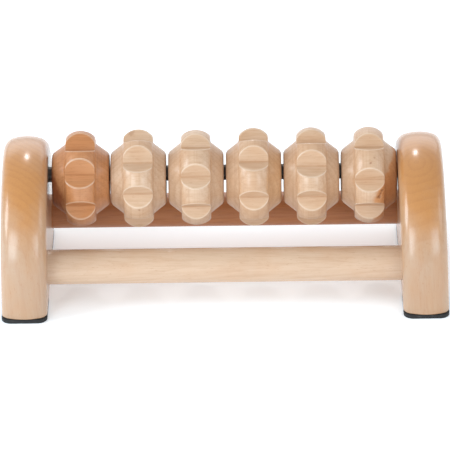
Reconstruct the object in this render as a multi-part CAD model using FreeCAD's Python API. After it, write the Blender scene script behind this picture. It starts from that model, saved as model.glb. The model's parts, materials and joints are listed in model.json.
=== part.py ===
import FreeCAD, Part
import math
import os

# Wooden foot massage roller: two arched end boards, two round stretchers,
# one steel rod and six loose notched wooden rollers.
# Frame: +X along the rod, -Y is the front, +Z up, pads rest on z = 0.  Millimetres.

# Overall frame
OVERALL_WIDTH = 230.0
PAD_THICKNESS = 2.0

# End boards
BOARD_THICKNESS = 23.5
ARCH_RADIUS = 55.0
ARCH_CENTRE_Z = 20.0
LEFT_BOARD_LEAN = 0.7
RIGHT_BOARD_LEAN = 1.7
EDGE_ROUND = 6.5
FOOT_EDGE_ROUND = 5.5
EDGE_CROWN_RADIUS = 24.0
FOOT_ARRIS = 0.5

# Round stretchers between the boards
DOWEL_DIAMETER = 18.0
DOWEL_OFFSET_Y = 32.5
DOWEL_HEIGHT = 21.0
DOWEL_SOCKET_DEPTH = 14.0
DOWEL_END_CHAMFER = 0.8

# Steel rod
ROD_DIAMETER = 8.0
ROD_HEIGHT = 58.3
ROD_SOCKET_DEPTH = 15.0
ROD_END_CHAMFER = 0.6

# Rollers
ROLLER_COUNT = 6
# The first roller is a little wider than the others
ROLLER_WIDTHS = (29.6, 28.6, 28.6, 28.6, 28.6, 28.6)
ROLLER_PITCH = 29.8
ROLLER_RADIUS = 25.4
ROLLER_END_GAP = 0.5
BORE_DIAMETER = 13.8
BORE_CLEARANCE = 0.1
BORE_CHAMFER = 0.7
HUB_END_RADIUS = 13.2
HUB_TOP_RADIUS = 18.4
HUB_ARRIS = 0.7
RING_HALF_WIDTH = 7.6
RING_CROWN_RADIUS = 9.5
RING_SHOULDER_RADIUS = 2.5
RING_ROOT_FILLET = 0.6
NOTCH_OVERREACH = 3.0
NOTCH_COUNT = 8
NOTCH_OPENING_ANGLE = 110.0
# Each loose roller's front notches: height above the level in degrees, and radius at the
# bottom of the notch.  They are indexed and milled by hand, so steps and depths differ.
FRONT_NOTCHES = (
    ((124.0, 18.6), (78.0, 18.6), (32.5, 18.8), (-16.0, 20.4), (-64.0, 19.5)),
    ((94.5, 18.6), (50.0, 18.9), (2.6, 20.3), (-46.5, 19.5)),
    ((117.0, 20.1), (74.5, 20.1), (26.9, 20.1), (-19.0, 20.9)),
    ((91.3, 19.2), (49.0, 19.5), (-3.8, 20.9), (-50.2, 20.1)),
    ((83.0, 19.8), (41.1, 19.2), (-4.9, 20.5), (-50.8, 19.8)),
    ((124.0, 20.3), (71.0, 20.3), (19.9, 20.3), (-22.3, 20.4)),
)
# The other notches share what is left of the turn, all milled to this radius
BACK_NOTCH_RADIUS = 19.8

# Rubber pads
PAD_LENGTH = 25.0
PAD_CORNER = 5.0

# Spare lengths that the cuts remove
FOOT_ALLOWANCE = 5.0
SOCKET_OVERREACH = 3.0

HALF_WIDTH = OVERALL_WIDTH / 2.0
INNER_FOOT = HALF_WIDTH - BOARD_THICKNESS
BOARD_CENTRE = HALF_WIDTH - BOARD_THICKNESS / 2.0


def vec(x, y, z):
    return FreeCAD.Vector(x, y, z)


def save(shape, node):
    shape = shape.removeSplitter()
    solid = shape.Solids[0]
    assert len(shape.Solids) == 1 and solid.isValid(), node
    solid.exportStep("parts/" + node + ".step")


def axial_cylinder(x_start, length, radius, y, z):
    return Part.makeCylinder(radius, length, vec(x_start, y, z), vec(1, 0, 0))


# End boards ---------------------------------------------------------------

def board_section(rounding):
    # Outline of half the section in local (x, r): flat faces, rounded corners, a faint crown.
    # The crown and the corner arcs share a tangent where they meet.
    half = BOARD_THICKNESS / 2.0
    tilt = math.asin((half - rounding) / (EDGE_CROWN_RADIUS - rounding))
    crown_x = EDGE_CROWN_RADIUS * math.sin(tilt)
    crown_r = ARCH_RADIUS - EDGE_CROWN_RADIUS * (1.0 - math.cos(tilt))
    corner_x = half - rounding
    corner_r = crown_r - rounding * math.cos(tilt)
    middle = math.radians(45.0) - tilt / 2.0
    mid_x = corner_x + rounding * math.cos(middle)
    mid_r = corner_r + rounding * math.sin(middle)
    left_foot = vec(-half, 0, corner_r)
    left_top = vec(-crown_x, 0, crown_r)
    right_top = vec(crown_x, 0, crown_r)
    right_foot = vec(half, 0, corner_r)
    edges = [
        Part.makeLine(vec(-half, 0, 0), left_foot),
        Part.Arc(left_foot, vec(-mid_x, 0, mid_r), left_top).toShape(),
        Part.Arc(left_top, vec(0, 0, ARCH_RADIUS), right_top).toShape(),
        Part.Arc(right_top, vec(mid_x, 0, mid_r), right_foot).toShape(),
        Part.makeLine(right_foot, vec(half, 0, 0)),
        Part.makeLine(vec(half, 0, 0), vec(-half, 0, 0)),
    ]
    return Part.Wire(edges)


def leg(turn):
    # Straight leg below the arch: its edges get a little sharper towards the foot.
    depth = ARCH_CENTRE_Z + FOOT_ALLOWANCE
    top = board_section(EDGE_ROUND)
    foot = board_section(FOOT_EDGE_ROUND)
    top.rotate(vec(0, 0, 0), vec(1, 0, 0), turn)
    foot.rotate(vec(0, 0, 0), vec(1, 0, 0), turn)
    foot.translate(vec(0, 0, -depth))
    return Part.makeLoft([foot, top], True, True)


def board_blank():
    # The section swept over the half-circle arch, on two straight legs.
    section = Part.Face(board_section(EDGE_ROUND))
    section.rotate(vec(0, 0, 0), vec(1, 0, 0), 90.0)
    arch = section.revolve(vec(0, 0, 0), vec(1, 0, 0), -180.0)
    blank = arch.fuse([leg(90.0), leg(-90.0)]).removeSplitter()
    blank.translate(vec(0, 0, ARCH_CENTRE_Z))
    return blank


def break_foot_edges(board):
    rim = []
    for edge in board.Edges:
        if edge.BoundBox.ZMax < PAD_THICKNESS + 0.01:
            rim.append(edge)
    return board.makeChamfer(FOOT_ARRIS, rim)


def cut_feet_level(board):
    size = 4.0 * ARCH_RADIUS
    below = Part.makeBox(size, size, size, vec(-size / 2.0, -size / 2.0, PAD_THICKNESS - size))
    return board.cut(below).Solids[0]


def inner_face(lean, height):
    # Distance of a leaning board's inner face from the middle, at this height.
    return INNER_FOOT - (height - PAD_THICKNESS) * math.tan(math.radians(lean))


def socket(board, lean, y, z, diameter, depth):
    # A blind round hole from the inner face into the board.
    mouth = inner_face(lean, z) - SOCKET_OVERREACH
    bottom = inner_face(lean, z) + depth
    return board.cut(axial_cylinder(mouth, bottom - mouth, diameter / 2.0, y, z))


def right_board(lean):
    # The board leans inwards at the top, about its outer foot edge.
    board = board_blank()
    board.rotate(vec(BOARD_THICKNESS / 2.0, 0, PAD_THICKNESS), vec(0, 1, 0), -lean)
    board = break_foot_edges(cut_feet_level(board))
    board.translate(vec(BOARD_CENTRE, 0, 0))
    for offset in (-DOWEL_OFFSET_Y, DOWEL_OFFSET_Y):
        board = socket(board, lean, offset, DOWEL_HEIGHT, DOWEL_DIAMETER, DOWEL_SOCKET_DEPTH)
    return socket(board, lean, 0, ROD_HEIGHT, ROD_DIAMETER, ROD_SOCKET_DEPTH)


def left_board(lean):
    return right_board(lean).mirror(vec(0, 0, 0), vec(1, 0, 0))


# Stretchers and rod -------------------------------------------------------

def bar_between_boards(y, z, diameter, socket_depth, end_chamfer):
    left_end = inner_face(LEFT_BOARD_LEAN, z) + socket_depth
    right_end = inner_face(RIGHT_BOARD_LEAN, z) + socket_depth
    bar = axial_cylinder(-left_end, left_end + right_end, diameter / 2.0, y, z)
    rims = []
    for edge in bar.Edges:
        if isinstance(edge.Curve, Part.Circle):
            rims.append(edge)
    return bar.makeChamfer(end_chamfer, rims)


def dowel(offset):
    return bar_between_boards(offset, DOWEL_HEIGHT, DOWEL_DIAMETER, DOWEL_SOCKET_DEPTH, DOWEL_END_CHAMFER)


def rod():
    return bar_between_boards(0, ROD_HEIGHT, ROD_DIAMETER, ROD_SOCKET_DEPTH, ROD_END_CHAMFER)


# Rollers ------------------------------------------------------------------

def roller_profile(width):
    # Half profile in local (x, r): bore, end face, cone, and a ring with upright
    # sides, small shoulders and a broad round crown that share their tangents.
    end = width / 2.0
    bore = BORE_DIAMETER / 2.0
    slope = (HUB_TOP_RADIUS - HUB_END_RADIUS) / (end - RING_HALF_WIDTH)
    crown_r = ROLLER_RADIUS - RING_CROWN_RADIUS
    shoulder_x = RING_HALF_WIDTH - RING_SHOULDER_RADIUS
    between = RING_CROWN_RADIUS - RING_SHOULDER_RADIUS
    rise = math.sqrt(between ** 2 - shoulder_x ** 2)
    shoulder_r = crown_r + rise
    join = vec(-shoulder_x, 0, rise) * (RING_CROWN_RADIUS / between) + vec(0, 0, crown_r)
    half_turn = math.atan2(rise, shoulder_x) / 2.0
    mid_x = -shoulder_x - RING_SHOULDER_RADIUS * math.cos(half_turn)
    mid_r = shoulder_r + RING_SHOULDER_RADIUS * math.sin(half_turn)
    left = [
        vec(-end + BORE_CHAMFER, 0, bore),
        vec(-end, 0, bore + BORE_CHAMFER),
        vec(-end, 0, HUB_END_RADIUS - HUB_ARRIS),
        vec(-end + HUB_ARRIS, 0, HUB_END_RADIUS + slope * HUB_ARRIS),
        vec(-RING_HALF_WIDTH, 0, HUB_TOP_RADIUS),
        vec(-RING_HALF_WIDTH, 0, shoulder_r),
    ]
    right = []
    for point in left:
        right.append(vec(-point.x, 0, point.z))
    edges = []
    for chain in (left, right):
        for first, second in zip(chain[:-1], chain[1:]):
            edges.append(Part.makeLine(first, second))
    other_join = vec(-join.x, 0, join.z)
    edges.append(Part.Arc(left[-1], vec(mid_x, 0, mid_r), join).toShape())
    edges.append(Part.Arc(join, vec(0, 0, ROLLER_RADIUS), other_join).toShape())
    edges.append(Part.Arc(other_join, vec(-mid_x, 0, mid_r), right[-1]).toShape())
    edges.append(Part.makeLine(right[0], left[0]))
    return Part.Face(Part.Wire(Part.__sortEdges__(edges)))


def ring_root_edges(blank):
    found = []
    for edge in blank.Edges:
        if isinstance(edge.Curve, Part.Circle):
            if abs(edge.Curve.Radius - HUB_TOP_RADIUS) < 0.01:
                found.append(edge)
    return found


def notch_cutter(root_radius):
    # A prism with its edge along the rod, opening outwards towards -Y.
    height = ROLLER_RADIUS - root_radius + NOTCH_OVERREACH
    half_mouth = height * math.tan(math.radians(NOTCH_OPENING_ANGLE / 2.0))
    x = -ROLLER_PITCH
    corners = [
        vec(x, -root_radius, 0),
        vec(x, -root_radius - height, half_mouth),
        vec(x, -root_radius - height, -half_mouth),
        vec(x, -root_radius, 0),
    ]
    face = Part.Face(Part.makePolygon(corners))
    return face.extrude(vec(2.0 * ROLLER_PITCH, 0, 0))


def all_notches(front):
    # The front notches, then the rest, evenly spread round the back.
    rest = NOTCH_COUNT - len(front)
    highest = front[0][0]
    lowest = front[-1][0]
    step = (360.0 - highest + lowest) / (rest + 1)
    notches = list(front)
    for index in range(rest):
        notches.append((lowest - step * (index + 1), BACK_NOTCH_RADIUS))
    return notches


def roller(number):
    shape = roller_profile(ROLLER_WIDTHS[number]).revolve(vec(0, 0, 0), vec(1, 0, 0), 360.0)
    shape = shape.makeFillet(RING_ROOT_FILLET, ring_root_edges(shape))
    for height, root_radius in all_notches(FRONT_NOTCHES[number]):
        tool = notch_cutter(root_radius)
        tool.rotate(vec(0, 0, 0), vec(1, 0, 0), -height)
        shape = shape.cut(tool)
    shape.translate(vec(roller_centre_x(number), 0, roller_axis_height()))
    return shape


def roller_axis_height():
    # A loose roller hangs on the rod, so its own axis sits below the rod's.
    play = (BORE_DIAMETER - ROD_DIAMETER) / 2.0
    return ROD_HEIGHT - play + BORE_CLEARANCE


def roller_centre_x(index):
    last = inner_face(RIGHT_BOARD_LEAN, ROD_HEIGHT) - ROLLER_END_GAP - ROLLER_WIDTHS[-1] / 2.0
    return last - (ROLLER_COUNT - 1 - index) * ROLLER_PITCH


# Pads ---------------------------------------------------------------------

def pad(side, end):
    # Flush with the board's foot: rounded at its end, square towards the middle.
    corner = vec(BOARD_CENTRE - BOARD_THICKNESS / 2.0, ARCH_RADIUS - PAD_LENGTH, 0)
    block = Part.makeBox(BOARD_THICKNESS, PAD_LENGTH, PAD_THICKNESS, corner)
    upright = []
    for edge in block.Edges:
        box = edge.BoundBox
        if box.ZLength > PAD_THICKNESS / 2.0 and box.YMin > ARCH_RADIUS - PAD_LENGTH / 2.0:
            upright.append(edge)
    block = block.makeFillet(PAD_CORNER, upright)
    if side < 0:
        block = block.mirror(vec(0, 0, 0), vec(1, 0, 0))
    if end < 0:
        block = block.mirror(vec(0, 0, 0), vec(0, 1, 0))
    return block


os.makedirs("parts", exist_ok=True)

save(left_board(LEFT_BOARD_LEAN), "left_end_panel")
save(right_board(RIGHT_BOARD_LEAN), "right_end_panel")
save(dowel(-DOWEL_OFFSET_Y), "front_dowel")
save(dowel(DOWEL_OFFSET_Y), "rear_dowel")
save(rod(), "axle_rod")

for number in range(ROLLER_COUNT):
    save(roller(number), "roller_" + str(number + 1))

save(pad(-1, -1), "left_front_pad")
save(pad(-1, 1), "left_rear_pad")
save(pad(1, -1), "right_front_pad")
save(pad(1, 1), "right_rear_pad")
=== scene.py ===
import json
import math

import bmesh
import bpy
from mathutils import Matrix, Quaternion, Vector, noise


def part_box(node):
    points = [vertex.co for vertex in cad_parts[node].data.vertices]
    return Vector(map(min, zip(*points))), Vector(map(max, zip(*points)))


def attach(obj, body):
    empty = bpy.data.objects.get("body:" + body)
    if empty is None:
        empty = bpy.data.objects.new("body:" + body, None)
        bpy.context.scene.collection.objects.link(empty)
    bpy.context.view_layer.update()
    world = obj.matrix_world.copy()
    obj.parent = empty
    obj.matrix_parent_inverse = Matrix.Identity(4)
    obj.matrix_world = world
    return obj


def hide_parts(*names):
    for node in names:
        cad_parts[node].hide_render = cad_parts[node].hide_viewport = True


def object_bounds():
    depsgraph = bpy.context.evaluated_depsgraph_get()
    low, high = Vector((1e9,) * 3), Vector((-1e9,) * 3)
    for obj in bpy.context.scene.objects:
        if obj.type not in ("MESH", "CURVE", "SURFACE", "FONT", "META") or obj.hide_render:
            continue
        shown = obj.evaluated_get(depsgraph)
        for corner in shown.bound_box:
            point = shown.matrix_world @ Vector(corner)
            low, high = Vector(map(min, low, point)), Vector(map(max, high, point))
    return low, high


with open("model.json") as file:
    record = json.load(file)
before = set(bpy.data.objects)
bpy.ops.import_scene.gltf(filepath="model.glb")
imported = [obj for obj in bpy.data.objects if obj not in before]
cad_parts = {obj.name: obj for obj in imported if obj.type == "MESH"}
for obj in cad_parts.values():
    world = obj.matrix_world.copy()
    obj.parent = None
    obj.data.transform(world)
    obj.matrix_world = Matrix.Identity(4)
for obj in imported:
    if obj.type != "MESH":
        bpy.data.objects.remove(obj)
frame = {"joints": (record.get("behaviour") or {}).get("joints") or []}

# Wooden foot massage roller.  Metres; lengths below that are in millimetres use MM.
MM = 0.001
SAME_POINT = 0.001 * MM
CAD_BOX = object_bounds()

# Shapes repeated from the CAD model
ARCH_RADIUS = 55.0 * MM
ARCH_CENTRE_Z = 20.0 * MM
BOARD_THICKNESS = 23.5 * MM
BOARD_LEAN = {"left": math.radians(0.7), "right": math.radians(1.7)}
EDGE_ROUND = 6.5 * MM
FOOT_ROUND = 5.5 * MM
EDGE_CROWN_RADIUS = 24.0 * MM
FOOT_ARRIS = 0.5 * MM
# A hair inside the CAD roller, so that the visible rollers stay within its box
ROLLER_RADIUS = 25.39 * MM
ROLLER_WIDTHS = [29.6 * MM, 28.6 * MM, 28.6 * MM, 28.6 * MM, 28.6 * MM, 28.6 * MM]
BORE_RADIUS = 6.9 * MM
BORE_CHAMFER = 0.7 * MM
HUB_END_RADIUS = 13.2 * MM
HUB_TOP_RADIUS = 18.4 * MM
HUB_ARRIS = 0.7 * MM
RING_HALF_WIDTH = 7.6 * MM
RING_CROWN_RADIUS = 9.5 * MM
RING_SHOULDER_RADIUS = 2.5 * MM
NOTCH_COUNT = 8
NOTCH_OPENING_ANGLE = math.radians(110.0)
# Front notches of each roller: height above the level in degrees, radius at the bottom in mm
FRONT_NOTCHES = [
    ((124.0, 18.6), (78.0, 18.6), (32.5, 18.8), (-16.0, 20.4), (-64.0, 19.5)),
    ((94.5, 18.6), (50.0, 18.9), (2.6, 20.3), (-46.5, 19.5)),
    ((117.0, 20.1), (74.5, 20.1), (26.9, 20.1), (-19.0, 20.9)),
    ((91.3, 19.2), (49.0, 19.5), (-3.8, 20.9), (-50.2, 20.1)),
    ((83.0, 19.8), (41.1, 19.2), (-4.9, 20.5), (-50.8, 19.8)),
    ((124.0, 20.3), (71.0, 20.3), (19.9, 20.3), (-22.3, 20.4)),
]
# The other notches share what is left of the turn, all milled to this radius, in mm
BACK_NOTCH_RADIUS = 19.8
DOWEL_CHAMFER = 0.8 * MM
ROD_CHAMFER = 0.6 * MM
PAD_CORNER = 5.0 * MM

# Nearer than this to the direction of a notch's wall, in radians, the wall is out of reach
LEAST_WALL_ANGLE = 0.02
# A roller's surface further out than this is cut by its notches, and from a little further
# out it counts as its ring
NOTCHED_FROM = 0.97 * HUB_TOP_RADIUS
RING_FROM = 1.02 * HUB_TOP_RADIUS

# Finish that only shows close up
EDGE_SOFTNESS = 0.45 * MM
ROOT_SOFTNESS = 0.25 * MM
SANDING_WAVE = 0.07 * MM
SANDING_WAVELENGTH = 14.0 * MM
# Within this distance of the arch's centre line, a board's surface stays as it is
SANDING_CORE = 20.0 * MM
DOWEL_WAVE = 0.08 * MM
LIP_WIDTH = 0.35 * MM
CHIP_STAIN_DEPTH = 0.3 * MM
# A chip ends this many widths from its middle
CHIP_REACH = 1.5
PAD_RIM = 0.25 * MM
PAD_RIM_ROUND = 0.07 * MM

# How finely the meshes are divided
LEG_STEPS = 16
ARCH_STEPS = 96
FLAT_FACE_SHARES = (0.0, 0.3, 0.6, 0.8, 0.92, 0.98)
ROLLER_STEPS_ROUND = NOTCH_COUNT * 44

# Chips knocked out of the rollers: roller, place along the rod from its middle,
# angle above the level at the front, width, depth
CHIPS = [
    (2, -3.6 * MM, 110.5, 1.7 * MM, 0.15 * MM),
    (2, 0.5 * MM, -15.0, 0.5 * MM, 0.2 * MM),
    (6, 6.2 * MM, 6.0, 0.7 * MM, 0.5 * MM),
    (6, 5.6 * MM, 2.5, 0.6 * MM, 0.4 * MM),
    (6, 4.7 * MM, -1.5, 0.9 * MM, 0.6 * MM),
    (6, 0.5 * MM, 40.5, 0.5 * MM, 0.3 * MM),
    (6, 2.5 * MM, 47.0, 0.35 * MM, 0.25 * MM),
]

# Darker wood on some rollers and painted shade on roller 1: roller, direction towards it
# in (x, z), distance from the frame's origin along that direction where it starts, and its tint
STAINS_AND_SHADE = [
    # Roller 1's patch is painted shade, darkening its lower left beside the left board
    (1, (-1.0, -0.56), 54.0 * MM, (0.60, 0.43, 0.37)),
    (4, (1.0, 0.0), 24.0 * MM, (1.0, 0.93, 0.80)),
    (6, (1.0, -0.657), 42.6 * MM, (0.98, 0.70, 0.46)),
]
# Below this height a patch's edge runs straight down
STAIN_AND_SHADE_TURN_Z = 54.0 * MM

# Wood colours: pale, warm and deep tones
# The rear dowel's tones are darkened as painted shade: it lies in the rollers' shadow
REAR_SHADED_TONES = [(0.50, 0.27, 0.14), (0.45, 0.175, 0.06), (0.31, 0.10, 0.028)]
FIRST_ROLLER_TONES = [(0.61, 0.37, 0.215), (0.50, 0.212, 0.083), (0.30, 0.11, 0.035)]
BOARD_TONES = [(0.45, 0.295, 0.187), (0.495, 0.212, 0.051), (0.38, 0.14, 0.035)]
TURNED_TONES = [(0.61, 0.424, 0.29), (0.51, 0.243, 0.10), (0.40, 0.20, 0.09)]
# Painted highlight: the pale tone of convex corners and of the rims of the notches
LIP_HIGHLIGHT_TONE = (0.80, 0.68, 0.54)
CHIP_TONE = (0.28, 0.11, 0.04)
# The grain runs a little askew, in radians
GRAIN_SLANT = (0.03, 0.05, 0.0)
LACQUER_IOR = 1.62
# Steel where it is clean, under an oil film and on its drawing lines
STEEL_TONES = [(0.055, 0.05, 0.048), (0.16, 0.12, 0.095), (0.25, 0.24, 0.23)]
# Rubber where it is clean, scuffed and in its pores
RUBBER_TONES = [(0.012, 0.012, 0.013), (0.05, 0.048, 0.046), (0.004, 0.004, 0.004)]

# How far each roller's wood leans from the pale tone to the warm one
ROLLER_WARMTHS = [0.8, -0.1, -0.05, 0.08, 0.08, 0.0]
# The tree's centre in a roller's wood, in (y, z), and how much it moves with the roller's number
ROLLER_PITH = (0.012, 0.075)
ROLLER_PITH_STEP = (0.006, -0.004)

# Studio
SKY_AT_HORIZON = 0.88
SKY_OVERHEAD = 0.62
SKY_FADE = (0.1, 0.8)
FLOOR_HALF_SIZE = 6.0
FLOOR_TONE = (0.93, 0.955, 0.985)
FLOOR_GLOW_TONE = (0.94, 0.98, 1.0)
FLOOR_GLOW = 0.25
LAMP_AIM = (0.0, 0.0, 0.04)
WHITE_LIGHT = (1.0, 1.0, 1.0)
COOL_LIGHT = (0.80, 0.92, 1.0)
CAMERA_AZIMUTH = 0.26
CAMERA_ELEVATION = 26.5
CAMERA_DISTANCE = 2.222
CAMERA_TARGET = (0.0002, 0.0, 0.02776)
CAMERA_ROLL = -0.84
CAMERA_LENS = 340.9
CAMERA_CLIP = (0.1, 50.0)


# Meshes -------------------------------------------------------------------

def mesh_object(name, points, faces, body, node, material, marks=None):
    """A smooth-shaded piece that stands for one CAD node and rides on its body.

    marks holds named values, one for each point, that the material reads.
    """
    mesh = bpy.data.meshes.new(name)
    mesh.from_pydata([tuple(p) for p in points], [], faces)
    mesh.update()
    for mark, values in (marks or {}).items():
        mesh.attributes.new(mark, "FLOAT", "POINT").data.foreach_set("value", values)
    joined = bmesh.new()
    joined.from_mesh(mesh)
    bmesh.ops.remove_doubles(joined, verts=joined.verts, dist=SAME_POINT)
    bmesh.ops.recalc_face_normals(joined, faces=joined.faces)
    for face in joined.faces:
        face.smooth = True
    joined.to_mesh(mesh)
    joined.free()
    piece = bpy.data.objects.new(name, mesh)
    bpy.context.scene.collection.objects.link(piece)
    mesh.materials.append(material)
    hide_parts(node)
    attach(piece, body)


def grid_faces(rows, columns, wrap_rows=False, wrap_columns=False):
    """Quads of a grid of rows by columns points, joined round where asked."""
    faces = []
    for i in range(rows if wrap_rows else rows - 1):
        for j in range(columns if wrap_columns else columns - 1):
            a = i * columns + j
            b = i * columns + (j + 1) % columns
            c = ((i + 1) % rows) * columns + (j + 1) % columns
            d = ((i + 1) % rows) * columns + j
            faces.append((a, b, c, d))
    return faces


def spread(start, end, count):
    """count points from start towards end, without the end."""
    return [tuple(a + (b - a) * i / count for a, b in zip(start, end)) for i in range(count)]


def arc(centre, radius, first, last, count):
    """count points on an arc from angle first towards last, without the last."""
    points = []
    for i in range(count):
        angle = math.radians(first + (last - first) * i / count)
        points.append((centre[0] + radius * math.cos(angle), centre[1] + radius * math.sin(angle)))
    return points


# End boards ---------------------------------------------------------------

def board_section(half, reach, rounding):
    """Half section of a board in (x, r), from its right flat face over the edge to the left one."""
    tilt = math.asin((half - rounding) / (EDGE_CROWN_RADIUS - rounding))
    crown_r = reach - EDGE_CROWN_RADIUS * (1.0 - math.cos(tilt))
    corner = (half - rounding, crown_r - rounding * math.cos(tilt))
    corner_end = 90.0 - math.degrees(tilt)
    right = [(half, corner[1] * share) for share in FLAT_FACE_SHARES]
    right += arc(corner, rounding, 0.0, corner_end, 14)
    crown_centre = (0.0, reach - EDGE_CROWN_RADIUS)
    right += arc(crown_centre, EDGE_CROWN_RADIUS, corner_end, 90.0, 6)
    right.append((0.0, reach))
    left = [(-x, r) for x, r in reversed(right[:-1])]
    return right + left


def board_rows(height):
    """Sections of an upright board from its front foot over the arch to its back foot."""
    half = BOARD_THICKNESS / 2.0
    heights = [0.0, FOOT_ARRIS, 1.5 * FOOT_ARRIS]
    heights += [height * i / LEG_STEPS for i in range(1, LEG_STEPS)]
    leg = []
    for rise in heights:
        rounding = FOOT_ROUND + (EDGE_ROUND - FOOT_ROUND) * rise / height
        inset = FOOT_ARRIS if rise == 0.0 else 0.0
        section = board_section(half - inset, ARCH_RADIUS - inset, rounding - inset)
        leg.append([(x, -r, rise) for x, r in section])
    section = board_section(half, ARCH_RADIUS, EDGE_ROUND)
    arch = []
    for i in range(ARCH_STEPS + 1):
        angle = math.pi * i / ARCH_STEPS
        arch.append([(x, -r * math.cos(angle), height + r * math.sin(angle)) for x, r in section])
    back_leg = [[(x, -y, z) for x, y, z in row] for row in reversed(leg)]
    return leg + arch + back_leg


def board_piece(side_name, material):
    """An arched end board: section swept over the half circle and down two legs, then leaned."""
    node = side_name + "_end_panel"
    side = -1.0 if side_name == "left" else 1.0
    foot_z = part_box(node)[0].z
    height = ARCH_CENTRE_Z - foot_z
    rows = board_rows(height)
    points = []
    for row in rows:
        for x, y, rise in row:
            place = Vector(leaned(side, x, rise, height, y, foot_z))
            points.append(sanded(place, Vector((place.x, 0.0, ARCH_CENTRE_Z))))
    columns = len(rows[0])
    faces = grid_faces(len(rows), columns)
    last = (len(rows) - 1) * columns
    faces.append(tuple(range(columns)) + tuple(range(last + columns - 1, last - 1, -1)))
    mesh_object(side_name + "_end_board", points, faces, "frame", node, material)


def leaned(side, x, rise, height, y, foot_z):
    """A place on an upright board after the board leans inwards and its foot is cut level."""
    lean = BOARD_LEAN["left" if side < 0.0 else "right"]
    from_pivot = side * x - BOARD_THICKNESS / 2.0
    level = -from_pivot * math.tan(lean) * max(0.0, 1.0 - rise / height)
    upright = rise + level
    out = from_pivot * math.cos(lean) - upright * math.sin(lean)
    up = from_pivot * math.sin(lean) + upright * math.cos(lean)
    return side * (CAD_BOX[1].x + out), y, foot_z + up


def sanded(place, inward):
    """The place moved a hair's breadth inwards, as hand sanding leaves a surface."""
    wave = 0.5 + 0.5 * noise.noise(place / SANDING_WAVELENGTH)
    towards = inward - place
    towards.x = 0.0
    if towards.length < SANDING_CORE:
        return place
    return place + towards.normalized() * (SANDING_WAVE * wave)


# Dowels and rod -----------------------------------------------------------

def bar_profile(low_x, high_x, radius, chamfer, along):
    """Outline of a bar in (x, r), from the middle of one end to the middle of the other."""
    end_rim = radius - chamfer
    inner_ring = 0.6 * end_rim
    profile = [(low_x, 0.0), (low_x, inner_ring), (low_x, end_rim)]
    length = high_x - low_x - 2.0 * chamfer
    for i in range(along + 1):
        profile.append((low_x + chamfer + length * i / along, radius))
    return profile + [(high_x, end_rim), (high_x, inner_ring), (high_x, 0.0)]


def bar_ripple(x, angle, bar_y):
    """Slow unevenness of a bar's surface, from 0 to 1, different on each bar."""
    across, up = 0.8 * math.cos(angle), 0.8 * math.sin(angle)
    return 0.5 + 0.5 * noise.noise(Vector((x * 40.0, across, bar_y * 90.0 + up)))


def round_bar(name, node, material, chamfer, wave, around=96, along=140):
    """A straight round bar along X, with chamfered ends and a faint waviness."""
    low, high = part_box(node)
    radius = (high.z - low.z) / 2.0
    middle = (low + high) / 2.0
    profile = bar_profile(low.x, high.x, radius, chamfer, along)
    points = []
    for x, r in profile:
        for j in range(around):
            angle = 2.0 * math.pi * j / around
            reach = r - wave * bar_ripple(x, angle, middle.y) if r >= radius else r
            points.append((x, middle.y + reach * math.cos(angle), middle.z + reach * math.sin(angle)))
    faces = grid_faces(len(profile), around, wrap_columns=True)
    mesh_object(name, points, faces, "frame", node, material)


# Rollers ------------------------------------------------------------------

def roller_profile(width):
    """Closed outline of a roller's section in (x, r), turning from the bore round to the bore.

    A small fillet of three points joins the cone to the ring's side.
    """
    end = width / 2.0
    slope = (HUB_TOP_RADIUS - HUB_END_RADIUS) / (end - RING_HALF_WIDTH)
    crown_r = ROLLER_RADIUS - RING_CROWN_RADIUS
    shoulder_x = RING_HALF_WIDTH - RING_SHOULDER_RADIUS
    rise = math.sqrt((RING_CROWN_RADIUS - RING_SHOULDER_RADIUS) ** 2 - shoulder_x ** 2)
    join = math.degrees(math.atan2(rise, shoulder_x))
    left = []
    left += spread((0.0, BORE_RADIUS), (-end + BORE_CHAMFER, BORE_RADIUS), 4)
    left += spread((-end + BORE_CHAMFER, BORE_RADIUS), (-end, BORE_RADIUS + BORE_CHAMFER), 2)
    left += spread((-end, BORE_RADIUS + BORE_CHAMFER), (-end, HUB_END_RADIUS - HUB_ARRIS), 6)
    hub_shoulder = (-end + HUB_ARRIS, HUB_END_RADIUS + slope * HUB_ARRIS)
    left += spread((-end, HUB_END_RADIUS - HUB_ARRIS), hub_shoulder, 3)
    fillet_start = (-RING_HALF_WIDTH - 0.5 * MM, HUB_TOP_RADIUS - 0.5 * MM * slope)
    fillet_middle = (-RING_HALF_WIDTH - 0.15 * MM, HUB_TOP_RADIUS + 0.02 * MM)
    fillet_end = (-RING_HALF_WIDTH, HUB_TOP_RADIUS + 0.4 * MM)
    left += spread(hub_shoulder, fillet_start, 16)
    left.append(fillet_middle)
    left += spread(fillet_end, (-RING_HALF_WIDTH, crown_r + rise), 5)
    left += arc((-shoulder_x, crown_r + rise), RING_SHOULDER_RADIUS, 180.0, 180.0 - join, 8)
    left += arc((0.0, crown_r), RING_CROWN_RADIUS, 180.0 - join, 90.0, 20)
    right = [(-x, r) for x, r in reversed(left[1:])]
    return left + [(0.0, ROLLER_RADIUS)] + right


def soft_min(a, b, softness):
    """The smaller of two lengths, rounded over where they meet."""
    share = max(0.0, min(1.0, 0.5 + 0.5 * (b - a) / softness))
    return b + (a - b) * share - softness * share * (1.0 - share)


def all_notches(front):
    """Angle and root radius of every notch: those at the front, then the rest round the back."""
    rest = NOTCH_COUNT - len(front)
    highest, lowest = front[0][0], front[-1][0]
    step = (360.0 - highest + lowest) / (rest + 1)
    notches = list(front) + [(lowest - step * (i + 1), BACK_NOTCH_RADIUS) for i in range(rest)]
    return [(math.radians(height), radius * MM) for height, radius in notches]


def angle_between(first, second):
    """The turn from one angle to another, between -pi and pi."""
    return (first - second + math.pi) % (2.0 * math.pi) - math.pi


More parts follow.
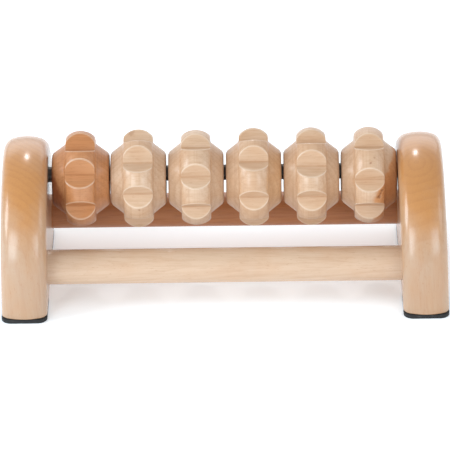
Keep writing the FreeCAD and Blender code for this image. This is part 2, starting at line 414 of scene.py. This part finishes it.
def notch_reach(angle, root_radius):
    """How far out the wood reaches at this angle from the middle of the nearest notch."""
    turn = math.sqrt(angle * angle + (ROOT_SOFTNESS / root_radius) ** 2)
    wall = NOTCH_OPENING_ANGLE / 2.0
    left_to_wall = wall - turn
    if left_to_wall <= LEAST_WALL_ANGLE:
        return 2.0 * ROLLER_RADIUS
    return root_radius * math.sin(wall) / math.sin(left_to_wall)


def chip_depth(number, x, angle):
    """How deep the chips of this roller go at this place."""
    depth = 0.0
    for roller, chip_x, chip_angle, width, deepest in CHIPS:
        if roller != number:
            continue
        across = angle_between(angle, math.radians(chip_angle))
        away = math.hypot(x - chip_x, across * ROLLER_RADIUS) / width
        ragged = 1.0 + 0.5 * noise.noise(Vector((x / MM * 1.7, across * 40.0, number * 3.1)))
        if away < CHIP_REACH:
            depth += deepest * math.exp(-(away * ragged) ** 4)
    return depth


def notch_limits(notches):
    """For each step round a roller: its angle, how far out the wood reaches, and a share of painted
    shade at the root.

    The share is 1 at the bottom of a notch and falls away over a lip's width.
    """
    limits = []
    for step in range(ROLLER_STEPS_ROUND):
        angle = 2.0 * math.pi * step / ROLLER_STEPS_ROUND
        limit = min(notch_reach(angle_between(angle, notch), root) for notch, root in notches)
        from_root = min(abs(angle_between(angle, notch)) for notch, root in notches) * HUB_TOP_RADIUS
        limits.append((angle, limit, math.exp(-(from_root / LIP_WIDTH) ** 2)))
    return limits


def roller_piece(number, material):
    """Roller as turned and milled wood: round-topped ring on a double cone, with V notches."""
    node = "roller_%d" % number
    joint = next(j for j in frame["joints"] if j["child"] == node)
    centre = Vector(joint["pos_m"])
    limits = notch_limits(all_notches(FRONT_NOTCHES[number - 1]))
    profile = roller_profile(ROLLER_WIDTHS[number - 1])
    points = []
    marks = {"chip": [], "lip_highlight": [], "milled": [], "root": []}
    for x, r in profile:
        notched = r > NOTCHED_FROM
        on_ring = r > RING_FROM
        for angle, limit, root_shade_share in limits:
            chipped = chip_depth(number, x, angle) if r > HUB_END_RADIUS else 0.0
            reach = (soft_min(r, limit, EDGE_SOFTNESS) if notched else r) - chipped
            milled = max(0.0, min(1.0, (r - limit) / LIP_WIDTH)) if on_ring else 0.0
            marks["chip"].append(min(1.0, chipped / CHIP_STAIN_DEPTH))
            # Painted highlight along the rim of each notch
            marks["lip_highlight"].append(math.exp(-((limit - r) / LIP_WIDTH) ** 2) if on_ring else 0.0)
            marks["milled"].append(milled)
            # Painted shade at the bottom of each notch
            marks["root"].append(milled * root_shade_share)
            across, up = reach * math.cos(angle), reach * math.sin(angle)
            points.append((centre.x + x, centre.y - across, centre.z + up))
    faces = grid_faces(len(profile), ROLLER_STEPS_ROUND, wrap_rows=True, wrap_columns=True)
    mesh_object("roller_%d_wood" % number, points, faces, node, node, material, marks)


# Pads ---------------------------------------------------------------------

def pad_outline(half, length):
    """Outline of a pad in (x, y): square at its inner end, rounded at the foot's end."""
    outline = [(-half, 0.0), (-half, 0.4 * length)]
    corner_x, corner_y = -half + PAD_CORNER, length - PAD_CORNER
    for degrees in range(0, 91, 9):
        turn = math.radians(degrees)
        outline.append((corner_x - PAD_CORNER * math.cos(turn), corner_y + PAD_CORNER * math.sin(turn)))
    return outline + [(-x, y) for x, y in reversed(outline)]


def pad_piece(node, material):
    """A flat rubber pad with rounded upright corners at the foot's end and softened rims."""
    low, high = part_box(node)
    outward = -1.0 if low.y < 0.0 else 1.0
    inner_y = high.y if outward < 0.0 else low.y
    mid_x = (low.x + high.x) / 2.0
    half = (high.x - low.x) / 2.0
    length = high.y - low.y
    outline = pad_outline(half, length)
    levels = [
        (PAD_RIM, low.z),
        (PAD_RIM_ROUND, low.z + 0.4 * PAD_RIM),
        (0.0, low.z + PAD_RIM),
        (0.0, high.z - PAD_RIM),
        (PAD_RIM_ROUND, high.z - 0.4 * PAD_RIM),
        (PAD_RIM, high.z),
    ]
    points = []
    for inset, z in levels:
        scale_x = (half - inset) / half
        scale_y = (length - 2.0 * inset) / length
        for x, y in outline:
            points.append((mid_x + x * scale_x, inner_y + outward * (inset + y * scale_y), z))
    columns = len(outline)
    faces = grid_faces(len(levels), columns, wrap_columns=True)
    faces.append(tuple(range(columns)))
    faces.append(tuple(range((len(levels) - 1) * columns, len(levels) * columns)))
    mesh_object(node + "_rubber", points, faces, "frame", node, material)


# Materials ----------------------------------------------------------------

class Shader:
    """A material's node tree, with short calls that add nodes and join them."""

    def __init__(self, name):
        self.material = bpy.data.materials.new(name)
        self.material.use_nodes = True
        self.tree = self.material.node_tree
        self.surface = self.tree.nodes["Principled BSDF"]

    def add(self, kind, values=None, **settings):
        node = self.tree.nodes.new("ShaderNode" + kind)
        for key, value in settings.items():
            setattr(node, key, value)
        for socket, value in (values or {}).items():
            self.feed(node, socket, value)
        return node

    def feed(self, node, socket, value):
        if isinstance(value, bpy.types.NodeSocket):
            self.tree.links.new(value, node.inputs[socket])
        else:
            node.inputs[socket].default_value = value

    def maths(self, operation, first, second=0.0, third=0.0, clamp=False):
        values = {0: first, 1: second, 2: third}
        return self.add("Math", values, operation=operation, use_clamp=clamp).outputs[0]

    def remap(self, value, low, high, to_low=0.0, to_high=1.0):
        values = {"Value": value, "From Min": low, "From Max": high, "To Min": to_low, "To Max": to_high}
        return self.add("MapRange", values, interpolation_type="SMOOTHSTEP").outputs["Result"]

    def blend(self, share, first, second, mode="MIX"):
        node = self.add("Mix", data_type="RGBA", blend_type=mode)
        self.feed(node, "Factor", share)
        self.feed(node, 6, rgba(first))
        self.feed(node, 7, rgba(second))
        return node.outputs[2]

    def scaled(self, vector, scale):
        return self.add("Mapping", {"Vector": vector, "Scale": scale}).outputs["Vector"]

    def noise(self, vector, scale, detail=2.0, roughness=0.5):
        place = self.scaled(vector, scale)
        values = {"Vector": place, "Scale": 1.0, "Detail": detail, "Roughness": roughness}
        return self.add("TexNoise", values).outputs["Fac"]


def rgba(colour):
    """A plain colour with full opacity added.  A socket stays as it is."""
    if isinstance(colour, tuple) and len(colour) == 3:
        return (*colour, 1.0)
    return colour


def grain_space(shader, place, along, pith):
    """Coordinates with the tree's centre as their origin and the grain along their third axis."""
    axes = shader.add("SeparateXYZ", {0: place}).outputs
    order = {"X": ("Y", "Z", "X"), "Z": ("X", "Y", "Z")}[along]
    grain = shader.add("CombineXYZ", {i: axes[axis] for i, axis in enumerate(order)}).outputs[0]
    laid = {"Vector": grain, "Location": (-pith[0], -pith[1], 0.0), "Rotation": GRAIN_SLANT}
    return shader.add("Mapping", laid).outputs["Vector"]


def late_wood(shader, grain, ring_width):
    """Share of late wood: growth rings are cylinders round the pith, pushed about by slow noise."""
    sway = shader.noise(grain, (55.0, 55.0, 12.0), detail=3.0)
    flat = shader.add("Mapping", {"Vector": grain, "Scale": (1.0, 1.0, 0.0)}).outputs["Vector"]
    radius = shader.add("VectorMath", {0: flat}, operation="LENGTH").outputs["Value"]
    swayed = shader.maths("MULTIPLY_ADD", sway, 5.0 * MM, radius)
    rings = shader.maths("FRACT", shader.maths("DIVIDE", swayed, ring_width))
    rise = shader.remap(rings, 0.35, 0.93)
    drop = shader.remap(rings, 0.93, 1.0)
    return shader.maths("SUBTRACT", rise, drop, clamp=True)


def beech_colour(shader, grain, fibres, end_grain, tones, ring_width, warmth, streaks, end_tone):
    """Beech's colour: slow clouds of tone, growth rings, streaks and fine dark flecks."""
    pale, warm, deep = tones
    clouds = shader.noise(grain, (60.0, 60.0, 35.0), detail=3.0, roughness=0.6)
    tone = shader.remap(clouds, 0.3, 0.75, 0.0, 0.35)
    tone = shader.maths("ADD", tone, shader.maths("MULTIPLY", end_grain, end_tone))
    tone = shader.maths("ADD", tone, warmth, clamp=True)
    colour = shader.blend(tone, pale, warm)

    rings = late_wood(shader, grain, ring_width)
    bands = shader.noise(grain, (520.0, 520.0, 22.0), detail=2.0)
    strands = shader.noise(grain, (1150.0, 1150.0, 55.0), detail=2.0, roughness=0.6)
    flecks = shader.remap(shader.noise(grain, (1900.0, 1900.0, 420.0), detail=1.0), 0.66, 0.76)
    shares = [
        shader.maths("MULTIPLY", rings, shader.maths("MULTIPLY_ADD", end_grain, 0.12, 0.10)),
        shader.maths("MULTIPLY", shader.remap(bands, 0.42, 0.72), streaks * 0.30),
        shader.maths("MULTIPLY", shader.remap(strands, 0.46, 0.72), streaks * 0.45),
        shader.maths("MULTIPLY", shader.remap(fibres, 0.5, 0.8), streaks * 0.40),
        shader.maths("MULTIPLY", flecks, 0.35),
    ]
    for share in shares:
        colour = shader.blend(share, colour, deep)
    return colour


def stained_and_shaded(shader, colour, place, smooth_cut, patches):
    """The colour with darker patches, of darker wood and of painted shade, whose ragged edges the
    notches cut through.
    """
    axes = shader.add("SeparateXYZ", {0: place}).outputs
    for (across, up), start, tint in patches:
        height = shader.maths("MAXIMUM", axes["Z"], STAIN_AND_SHADE_TURN_Z)
        edge = shader.maths("MULTIPLY_ADD", height, up, shader.maths("MULTIPLY", axes["X"], across))
        rag = shader.noise(place, (260.0, 260.0, 260.0), detail=3.0)
        edge = shader.maths("MULTIPLY_ADD", rag, 5.0 * MM, edge)
        mask = shader.maths("MULTIPLY", shader.remap(edge, start, start + 2.5 * MM), smooth_cut)
        colour = shader.blend(mask, colour, tint, mode="MULTIPLY")
    return colour


def marked(shader, colour, mark, share, tone):
    """The colour blended towards a tone where the mesh carries this mark."""
    amount = shader.add("Attribute", attribute_name=mark).outputs["Fac"]
    return shader.blend(shader.maths("MULTIPLY", amount, share), colour, tone)


def lathe_colour(shader, colour, place, lines, smooth_cut, deep):
    """The colour with the lathe's fine lines, painted shade at the notches' roots, a painted highlight
    on their lips, and the chips.
    """
    wide_lines = shader.noise(place, (520.0, 6.0, 6.0), detail=2.0, roughness=0.6)
    fine_share = shader.remap(lines, 0.48, 0.7, 0.0, 0.24)
    wide_share = shader.remap(wide_lines, 0.48, 0.7, 0.0, 0.12)
    line_share = shader.maths("ADD", fine_share, wide_share)
    colour = shader.blend(shader.maths("MULTIPLY", line_share, smooth_cut), colour, deep)
    # Painted shade at the notches' roots
    colour = marked(shader, colour, "root", 0.5, deep)
    # Painted highlight along the notches' lips
    colour = marked(shader, colour, "lip_highlight", 0.45, LIP_HIGHLIGHT_TONE)
    return marked(shader, colour, "chip", 0.75, CHIP_TONE)


def wood(name, tones, along, pith, ring_width, warmth, gloss, coat_roughness, streaks=0.4,
         end_tone=0.8, notched=False, patches=()):
    """Lacquered beech.  along is the grain's axis and pith the tree's centre, both in the frame.

    notched is for the rollers, whose meshes carry marks.  The milled walls of their notches
    have little lacquer.
    """
    deep = tones[2]
    shader = Shader(name)
    surface = shader.surface
    texture = shader.add("TexCoord").outputs
    place = texture["Object"]
    facing = shader.add("SeparateXYZ", {0: texture["Normal"]}).outputs
    grain = grain_space(shader, place, along, pith)
    fibres = shader.noise(grain, (2600.0, 2600.0, 130.0), detail=3.0, roughness=0.65)

    # End grain drinks the lacquer and turns deeper
    end_grain = shader.remap(shader.maths("ABSOLUTE", facing[along]), 0.25, 0.8)
    colour = beech_colour(shader, grain, fibres, end_grain, tones, ring_width, warmth, streaks, end_tone)
    roughness = shader.remap(fibres, 0.2, 0.8, 0.42, 0.58)
    coat = gloss
    relief = shader.maths("MULTIPLY", fibres, 0.6)
    if notched:
        milled = shader.add("Attribute", attribute_name="milled").outputs["Fac"]
        smooth_cut = shader.maths("SUBTRACT", 1.0, milled)
        lines = shader.noise(place, (1500.0, 10.0, 10.0), detail=3.0, roughness=0.7)
        # Darker patches: darker wood, and painted shade on roller 1
        colour = stained_and_shaded(shader, colour, place, smooth_cut, patches)
        colour = lathe_colour(shader, colour, place, lines, smooth_cut, deep)
        roughness = shader.maths("MULTIPLY_ADD", milled, 0.25, roughness)
        coat = shader.maths("MULTIPLY_ADD", milled, -0.7 * gloss, gloss)
        lathe_relief = shader.maths("MULTIPLY", shader.maths("MULTIPLY", lines, smooth_cut), 0.8)
        relief = shader.maths("ADD", relief, lathe_relief)
        shader.feed(surface, "Specular IOR Level", 0.2)

    # Painted highlight makes convex corners paler, painted shade makes inside corners darker
    pointed = shader.add("NewGeometry").outputs["Pointiness"]
    colour = shader.blend(shader.remap(pointed, 0.52, 0.60, 0.0, 0.4), colour, LIP_HIGHLIGHT_TONE)
    colour = shader.blend(shader.remap(pointed, 0.485, 0.42, 0.0, 0.55), colour, deep)

    ripple = shader.noise(place, (420.0, 420.0, 420.0), detail=2.0)
    relief = shader.maths("ADD", relief, shader.maths("MULTIPLY", ripple, 0.8))
    grooves = shader.add("Bump", {"Strength": 0.35, "Distance": 0.05 * MM, "Height": relief})
    soft = shader.add("Bump", {"Strength": 0.25, "Distance": 0.05 * MM, "Height": ripple})
    shader.feed(surface, "Base Color", colour)
    shader.feed(surface, "Roughness", roughness)
    shader.feed(surface, "Coat Weight", coat)
    shader.feed(surface, "Coat Roughness", coat_roughness)
    shader.feed(surface, "Coat IOR", LACQUER_IOR)
    shader.feed(surface, "Normal", grooves.outputs["Normal"])
    shader.feed(surface, "Coat Normal", soft.outputs["Normal"])
    return shader.material


def dark_steel(name):
    """Drawn steel rod, dark with a thin oil film and fine lines along its length."""
    clean, oily, bright = STEEL_TONES
    shader = Shader(name)
    place = shader.add("TexCoord").outputs["Object"]
    lines = shader.noise(place, (60.0, 5200.0, 5200.0), detail=2.0)
    patches = shader.noise(place, (180.0, 180.0, 180.0), detail=4.0, roughness=0.7)
    colour = shader.blend(shader.remap(patches, 0.35, 0.75), clean, oily)
    colour = shader.blend(shader.remap(lines, 0.55, 0.8, 0.0, 0.4), colour, bright)
    shader.feed(shader.surface, "Base Color", colour)
    shader.feed(shader.surface, "Metallic", 0.85)
    shader.feed(shader.surface, "Roughness", shader.remap(patches, 0.3, 0.8, 0.34, 0.55))
    bump = shader.add("Bump", {"Strength": 0.3, "Distance": 0.02 * MM, "Height": lines})
    shader.feed(shader.surface, "Normal", bump.outputs["Normal"])
    return shader.material


def black_rubber(name):
    """Cut foam-rubber sheet, matt and slightly grey where it is scuffed."""
    clean, scuffed, deep = RUBBER_TONES
    shader = Shader(name)
    place = shader.add("TexCoord").outputs["Object"]
    pores = shader.noise(place, (2400.0, 2400.0, 2400.0), detail=3.0, roughness=0.7)
    scuffs = shader.noise(place, (300.0, 300.0, 900.0), detail=3.0)
    colour = shader.blend(shader.remap(scuffs, 0.5, 0.8), clean, scuffed)
    colour = shader.blend(shader.remap(pores, 0.55, 0.75, 0.0, 0.5), colour, deep)
    shader.feed(shader.surface, "Base Color", colour)
    shader.feed(shader.surface, "Roughness", shader.remap(pores, 0.3, 0.7, 0.62, 0.85))
    bump = shader.add("Bump", {"Strength": 0.5, "Distance": 0.08 * MM, "Height": pores})
    shader.feed(shader.surface, "Normal", bump.outputs["Normal"])
    return shader.material


def pale_floor(name):
    """Matt and nearly white, with a faint glow of its own."""
    shader = Shader(name)
    shader.feed(shader.surface, "Base Color", rgba(FLOOR_TONE))
    shader.feed(shader.surface, "Roughness", 0.85)
    shader.feed(shader.surface, "Specular IOR Level", 0.2)
    shader.feed(shader.surface, "Emission Color", rgba(FLOOR_GLOW_TONE))
    shader.feed(shader.surface, "Emission Strength", FLOOR_GLOW)
    return shader.material


# Stage --------------------------------------------------------------------

def floor():
    """A wide flat floor at the height that the pads stand on."""
    mesh = bpy.data.meshes.new("floor")
    size = FLOOR_HALF_SIZE
    corners = [(-size, -size, 0.0), (size, -size, 0.0), (size, size, 0.0), (-size, size, 0.0)]
    mesh.from_pydata(corners, [], [(0, 1, 2, 3)])
    mesh.materials.append(pale_floor("pale_floor"))
    plane = bpy.data.objects.new("floor", mesh)
    bpy.context.scene.collection.objects.link(plane)


def softbox(name, azimuth, elevation, distance, width, height, power, tint=WHITE_LIGHT):
    """A rectangular area light that faces the object."""
    light = bpy.data.lights.new(name, "AREA")
    light.shape = "RECTANGLE"
    light.size = width
    light.size_y = height
    light.energy = power
    light.color = tint
    lamp = bpy.data.objects.new(name, light)
    bpy.context.scene.collection.objects.link(lamp)
    back = direction(azimuth, elevation)
    lamp.location = Vector(LAMP_AIM) + back * distance
    lamp.rotation_mode = "QUATERNION"
    lamp.rotation_quaternion = back.to_track_quat("Z", "Y")


def direction(azimuth, elevation):
    """Unit vector from the object towards a place seen at this azimuth and elevation, in degrees."""
    turn, rise = math.radians(azimuth), math.radians(elevation)
    return Vector((math.sin(turn) * math.cos(rise), -math.cos(turn) * math.cos(rise), math.sin(rise)))


def surroundings():
    """A white studio, brighter at the horizon than overhead."""
    world = bpy.data.worlds.new("studio")
    bpy.context.scene.world = world
    world.use_nodes = True
    tree = world.node_tree
    place = tree.nodes.new("ShaderNodeTexCoord")
    axes = tree.nodes.new("ShaderNodeSeparateXYZ")
    fade = tree.nodes.new("ShaderNodeMapRange")
    fade.inputs["From Min"].default_value = SKY_FADE[0]
    fade.inputs["From Max"].default_value = SKY_FADE[1]
    fade.inputs["To Min"].default_value = SKY_AT_HORIZON
    fade.inputs["To Max"].default_value = SKY_OVERHEAD
    tree.links.new(place.outputs["Generated"], axes.inputs[0])
    tree.links.new(axes.outputs["Z"], fade.inputs["Value"])
    background = tree.nodes["Background"]
    background.inputs["Color"].default_value = (1.0, 1.0, 1.0, 1.0)
    tree.links.new(fade.outputs["Result"], background.inputs["Strength"])


def camera():
    """In front of the object and above it, turned and rolled by a hair."""
    data = bpy.data.cameras.new("camera")
    data.lens = CAMERA_LENS
    data.clip_start, data.clip_end = CAMERA_CLIP
    eye = bpy.data.objects.new("camera", data)
    bpy.context.scene.collection.objects.link(eye)
    back = direction(CAMERA_AZIMUTH, CAMERA_ELEVATION)
    eye.location = Vector(CAMERA_TARGET) + back * CAMERA_DISTANCE
    eye.rotation_mode = "QUATERNION"
    roll = Quaternion((0.0, 0.0, 1.0), math.radians(CAMERA_ROLL))
    eye.rotation_quaternion = back.to_track_quat("Z", "Y") @ roll
    bpy.context.scene.camera = eye


def lamps():
    """Two softboxes in front, one at each side, a wide bright wall behind and a small lamp above."""
    softbox("key_left", -33.0, 17.0, 1.6, 0.60, 0.75, 7.9, COOL_LIGHT)
    softbox("fill_right", 33.0, 17.0, 1.8, 0.60, 0.75, 5.3, COOL_LIGHT)
    softbox("back_wall", 180.0, 24.0, 2.0, 2.4, 1.0, 7.5)
    softbox("lamp_above", 4.0, 131.5, 1.5, 0.06, 0.06, 2.2)
    softbox("side_left", -75.0, 28.0, 1.6, 0.7, 0.8, 12.5, COOL_LIGHT)
    softbox("side_right", 75.0, 28.0, 1.6, 0.7, 0.8, 3.0, COOL_LIGHT)


def boards():
    left_wood = wood("left_board_beech", BOARD_TONES, "Z", (-0.060, 0.030), 3.4 * MM,
                     warmth=0.02, gloss=0.85, coat_roughness=0.22, streaks=0.35)
    right_wood = wood("right_board_beech", BOARD_TONES, "Z", (0.1025, -0.020), 3.8 * MM,
                      warmth=0.08, gloss=0.85, coat_roughness=0.21, streaks=0.35)
    board_piece("left", left_wood)
    board_piece("right", right_wood)


def bars():
    front_wood = wood("front_dowel_beech", TURNED_TONES, "X", (-0.09, 0.05), 2.6 * MM,
                      warmth=-0.1, gloss=0.5, coat_roughness=0.25)
    # Painted shade: darker, redder tones for the rear dowel under the rollers
    rear_shaded_wood = wood("rear_dowel_shaded_beech", REAR_SHADED_TONES, "X", (0.09, 0.05), 2.2 * MM,
                     warmth=1.0, gloss=0.25, coat_roughness=0.25, streaks=0.9)
    steel = dark_steel("rod_steel")
    round_bar("front_dowel_wood", "front_dowel", front_wood, DOWEL_CHAMFER, DOWEL_WAVE)
    round_bar("rear_dowel_wood", "rear_dowel", rear_shaded_wood, DOWEL_CHAMFER, DOWEL_WAVE)
    round_bar("axle_rod_steel", "axle_rod", steel, ROD_CHAMFER, 0.0, around=64, along=60)


def rollers():
    for number, warmth in enumerate(ROLLER_WARMTHS, start=1):
        pith = tuple(first + step * number for first, step in zip(ROLLER_PITH, ROLLER_PITH_STEP))
        tones = FIRST_ROLLER_TONES if number == 1 else TURNED_TONES
        patches = [patch_row[1:] for patch_row in STAINS_AND_SHADE if patch_row[0] == number]
        beech = wood("roller_%d_beech" % number, tones, "X", pith, 2.4 * MM, warmth=warmth, gloss=0.55,
                     coat_roughness=0.24, streaks=0.55, end_tone=0.12, notched=True, patches=patches)
        roller_piece(number, beech)


def pads():
    rubber = black_rubber("pad_rubber")
    for node in ("left_front_pad", "left_rear_pad", "right_front_pad", "right_rear_pad"):
        pad_piece(node, rubber)


boards()
bars()
rollers()
pads()
floor()
surroundings()
lamps()
camera()
bpy.context.scene.view_settings.view_transform = "Standard"
